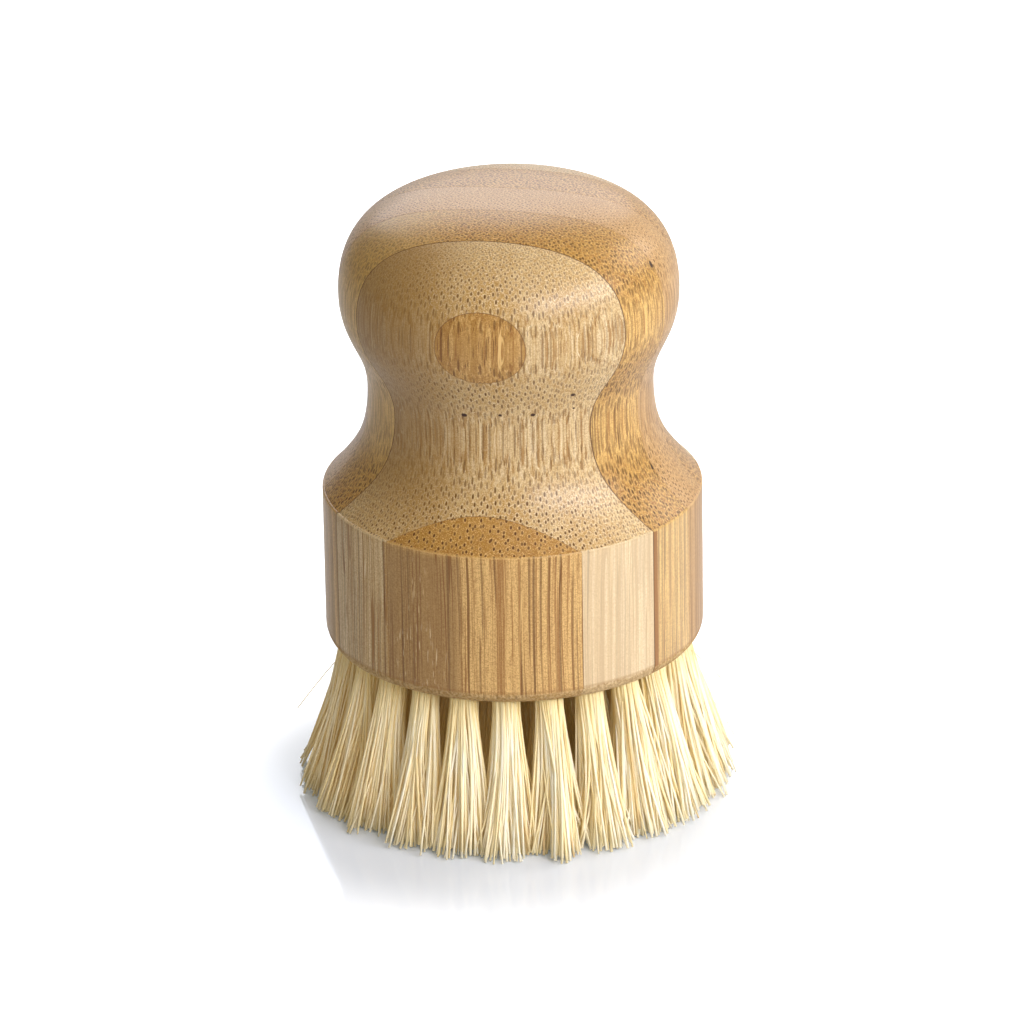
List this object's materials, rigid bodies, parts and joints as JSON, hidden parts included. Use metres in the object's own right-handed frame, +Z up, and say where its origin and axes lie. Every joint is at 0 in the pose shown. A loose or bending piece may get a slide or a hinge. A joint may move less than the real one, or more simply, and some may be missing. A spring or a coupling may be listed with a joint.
{
  "type": "pot brush",
  "caption": "Palm-held pot brush: a turned knob of laminated bamboo with a narrow waist, its flat underside drilled with rings of splayed plant-fibre tufts.",
  "frame": {"origin": "on the axis of turning, level with the trimmed bristle tips that the brush stands on", "axes": "+Z up the axis towards the crown of the knob; the bamboo planks lie square to Y, with the thin front slice at -Y"},
  "size_m": [0.0576, 0.0576, 0.0858],
  "materials": {
    "bamboo_pale": "satin lacquer over pale laminated bamboo, vascular bundles as fine brown dots and streaks",
    "bamboo_amber": "satin lacquer over amber laminated bamboo, dense brown bundles",
    "bamboo_brown": "satin lacquer over browner laminated bamboo, streaked",
    "plant_fibre": "matt cream plant fibre with some yellow-brown fibres"
  },
  "bodies": {
    "root": {"front_head_cap": "bamboo_brown", "front_base_slice": "bamboo_brown", "bamboo_layer_1": "bamboo_pale", "bamboo_layer_2": "bamboo_amber", "bamboo_layer_3": "bamboo_pale", "bamboo_layer_4": "bamboo_amber", "bamboo_layer_5": "bamboo_pale", "bamboo_layer_6": "bamboo_amber", "outer_tuft_01": "plant_fibre", "outer_tuft_02": "plant_fibre", "outer_tuft_03": "plant_fibre", "outer_tuft_04": "plant_fibre", "outer_tuft_05": "plant_fibre", "outer_tuft_06": "plant_fibre", "outer_tuft_07": "plant_fibre", "outer_tuft_08": "plant_fibre", "outer_tuft_09": "plant_fibre", "outer_tuft_10": "plant_fibre", "outer_tuft_11": "plant_fibre", "outer_tuft_12": "plant_fibre", "outer_tuft_13": "plant_fibre", "outer_tuft_14": "plant_fibre", "outer_tuft_15": "plant_fibre", "outer_tuft_16": "plant_fibre", "outer_tuft_17": "plant_fibre", "outer_tuft_18": "plant_fibre", "outer_tuft_19": "plant_fibre", "outer_tuft_20": "plant_fibre", "outer_tuft_21": "plant_fibre", "outer_tuft_22": "plant_fibre", "outer_tuft_23": "plant_fibre", "outer_tuft_24": "plant_fibre", "second_ring_tuft_01": "plant_fibre", "second_ring_tuft_02": "plant_fibre", "second_ring_tuft_03": "plant_fibre", "second_ring_tuft_04": "plant_fibre", "second_ring_tuft_05": "plant_fibre", "second_ring_tuft_06": "plant_fibre", "second_ring_tuft_07": "plant_fibre", "second_ring_tuft_08": "plant_fibre", "second_ring_tuft_09": "plant_fibre", "second_ring_tuft_10": "plant_fibre", "second_ring_tuft_11": "plant_fibre", "second_ring_tuft_12": "plant_fibre", "second_ring_tuft_13": "plant_fibre", "second_ring_tuft_14": "plant_fibre", "second_ring_tuft_15": "plant_fibre", "third_ring_tuft_01": "plant_fibre", "third_ring_tuft_02": "plant_fibre", "third_ring_tuft_03": "plant_fibre", "third_ring_tuft_04": "plant_fibre", "third_ring_tuft_05": "plant_fibre", "third_ring_tuft_06": "plant_fibre", "third_ring_tuft_07": "plant_fibre", "third_ring_tuft_08": "plant_fibre", "centre_tuft_01": "plant_fibre", "centre_tuft_02": "plant_fibre", "centre_tuft_03": "plant_fibre"}
  },
  "joints": []
}
